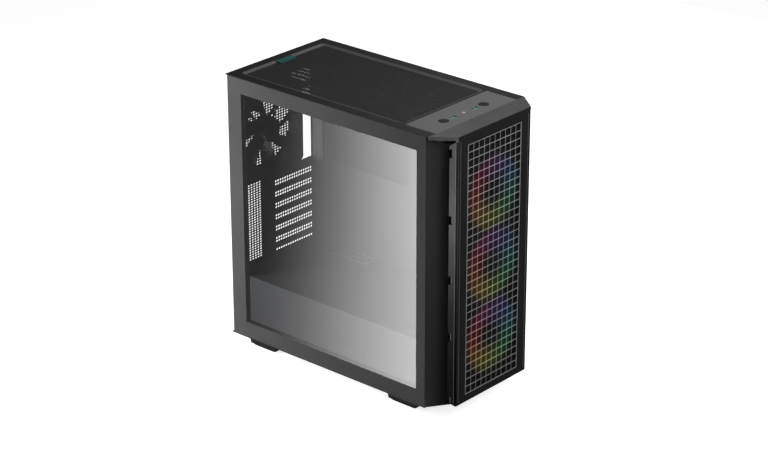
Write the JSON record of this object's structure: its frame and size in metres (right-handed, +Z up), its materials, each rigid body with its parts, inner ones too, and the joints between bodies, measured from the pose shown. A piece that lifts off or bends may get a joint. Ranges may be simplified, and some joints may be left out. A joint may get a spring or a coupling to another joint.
{
  "type": "desktop computer tower",
  "caption": "Black mid-size computer tower case with a tinted glass side window, square-mesh front over lit fans, and a magnetic top dust filter.",
  "frame": {"origin": "on the floor under the middle of the bounding box", "axes": "+Z up, +Y to the rear, +X to the case's right side, away from the window"},
  "size_m": [0.23, 0.4628, 0.4753],
  "materials": {
    "black_steel": "matt black powder coat",
    "side_panel_frame": "satin black paint round the window",
    "black_plastic": "fine matt black moulding",
    "top_plastic": "fine matt black moulding",
    "grey_plastic": "matt dark grey moulding",
    "gloss_black": "piano black",
    "tinted_glass": "grey tinted tempered glass",
    "filter_mesh": "fine woven dust mesh, black",
    "rubber": "matt rubber",
    "teal_plastic": "teal pull tab",
    "fan_frame": "matt black glass-filled nylon",
    "fan_blade": "smoked translucent blades",
    "circuit_board": "green solder mask",
    "plated_steel": "tin-plated shell"
  },
  "bodies": {
    "root": {"bottom_pan": "black_steel", "rear_panel": "black_steel", "motherboard_tray": "black_steel", "psu_shroud": "black_steel", "front_wall": "black_steel", "front_pillar_left": "black_steel", "front_pillar_right": "black_steel", "top_panel": "black_steel", "drive_cage": "black_steel", "slot_cover_1": "black_steel", "slot_cover_2": "black_steel", "slot_cover_3": "black_steel", "slot_cover_4": "black_steel", "slot_cover_5": "black_steel", "slot_cover_6": "black_steel", "slot_cover_7": "black_steel", "foot_front_left": "black_plastic", "foot_front_right": "black_plastic", "foot_rear_left": "black_plastic", "foot_rear_right": "black_plastic", "audio_jack": "black_plastic", "fan_hub": "black_plastic", "top_frame": "top_plastic", "io_cover": "grey_plastic", "foot_pad_front_left": "rubber", "foot_pad_front_right": "rubber", "foot_pad_rear_left": "rubber", "foot_pad_rear_right": "rubber", "rear_fan_frame": "fan_frame", "front_fan_1_frame": "fan_frame", "front_fan_2_frame": "fan_frame", "front_fan_3_frame": "fan_frame", "io_board": "circuit_board", "usb_port_left": "plated_steel", "usb_port_right": "plated_steel"},
    "glass_panel": {"glass_panel_frame": "side_panel_frame", "glass_pane": "tinted_glass"},
    "right_panel": {"right_side_panel": "black_steel"},
    "front_panel": {"front_panel_frame": "black_plastic", "front_grille": "black_steel", "front_filter": "filter_mesh", "front_trim_left": "gloss_black", "front_trim_right": "gloss_black"},
    "top_filter": {"top_filter_frame": "top_plastic", "top_filter_mesh": "filter_mesh", "top_filter_tab": "teal_plastic"},
    "psu_filter": {"psu_filter": "black_plastic"},
    "power_button": {"power_button": "black_plastic"},
    "reset_button": {"reset_button": "black_plastic"},
    "drive_tray_1": {"drive_tray_1": "black_plastic"},
    "drive_tray_2": {"drive_tray_2": "black_plastic"},
    "rear_fan_rotor": {"rear_fan_rotor": "fan_blade"},
    "front_fan_1_rotor": {"front_fan_1_rotor": "fan_blade"},
    "front_fan_2_rotor": {"front_fan_2_rotor": "fan_blade"},
    "front_fan_3_rotor": {"front_fan_3_rotor": "fan_blade"},
    "thumbscrew_left_bottom": {"thumbscrew_left_bottom": "black_steel"},
    "thumbscrew_left_top": {"thumbscrew_left_top": "black_steel"},
    "thumbscrew_right_bottom": {"thumbscrew_right_bottom": "black_steel"},
    "thumbscrew_right_top": {"thumbscrew_right_top": "black_steel"}
  },
  "joints": [
    {"name": "glass_panel_slide", "type": "slide", "parent": "root", "child": "glass_panel", "axis": [0, 1, 0], "range_m": [0, 0.42]},
    {"name": "right_panel_slide", "type": "slide", "parent": "root", "child": "right_panel", "axis": [0, 1, 0], "range_m": [0, 0.42]},
    {"name": "front_panel_pull", "type": "slide", "parent": "root", "child": "front_panel", "axis": [0, -1, 0], "range_m": [0, 0.06]},
    {"name": "top_filter_lift", "type": "slide", "parent": "root", "child": "top_filter", "axis": [0, 0, 1], "range_m": [0, 0.06]},
    {"name": "psu_filter_slide", "type": "slide", "parent": "root", "child": "psu_filter", "axis": [0, 1, 0], "range_m": [0, 0.18]},
    {"name": "power_button_press", "type": "slide", "parent": "root", "child": "power_button", "axis": [0, 0, -1], "range_m": [0, 0.0015], "stiffness_N_per_m": 700, "springref_m": -0.001},
    {"name": "reset_button_press", "type": "slide", "parent": "root", "child": "reset_button", "axis": [0, 0, -1], "range_m": [0, 0.0015], "stiffness_N_per_m": 700, "springref_m": -0.001},
    {"name": "drive_tray_1_slide", "type": "slide", "parent": "root", "child": "drive_tray_1", "axis": [1, 0, 0], "range_m": [0, 0.012]},
    {"name": "drive_tray_2_slide", "type": "slide", "parent": "root", "child": "drive_tray_2", "axis": [1, 0, 0], "range_m": [0, 0.012]},
    {"name": "rear_fan_spin", "type": "hinge", "parent": "root", "child": "rear_fan_rotor", "pos_m": [-0.0404, 0.2071, 0.3648], "axis": [0, 1, 0], "continuous": true},
    {"name": "front_fan_1_spin", "type": "hinge", "parent": "root", "child": "front_fan_1_rotor", "pos_m": [0, -0.2095, 0.362], "axis": [0, 1, 0], "continuous": true},
    {"name": "front_fan_2_spin", "type": "hinge", "parent": "root", "child": "front_fan_2_rotor", "pos_m": [0, -0.2095, 0.2415], "axis": [0, 1, 0], "continuous": true},
    {"name": "front_fan_3_spin", "type": "hinge", "parent": "root", "child": "front_fan_3_rotor", "pos_m": [0, -0.2095, 0.121], "axis": [0, 1, 0], "continuous": true},
    {"name": "thumbscrew_left_bottom_turn", "type": "hinge", "parent": "glass_panel", "child": "thumbscrew_left_bottom", "pos_m": [-0.099, 0.2222, 0.06], "axis": [0, 1, 0], "continuous": true},
    {"name": "thumbscrew_left_top_turn", "type": "hinge", "parent": "glass_panel", "child": "thumbscrew_left_top", "pos_m": [-0.099, 0.2222, 0.452], "axis": [0, 1, 0], "continuous": true},
    {"name": "thumbscrew_right_bottom_turn", "type": "hinge", "parent": "right_panel", "child": "thumbscrew_right_bottom", "pos_m": [0.099, 0.2222, 0.06], "axis": [0, 1, 0], "continuous": true},
    {"name": "thumbscrew_right_top_turn", "type": "hinge", "parent": "right_panel", "child": "thumbscrew_right_top", "pos_m": [0.099, 0.2222, 0.452], "axis": [0, 1, 0], "continuous": true}
  ]
}
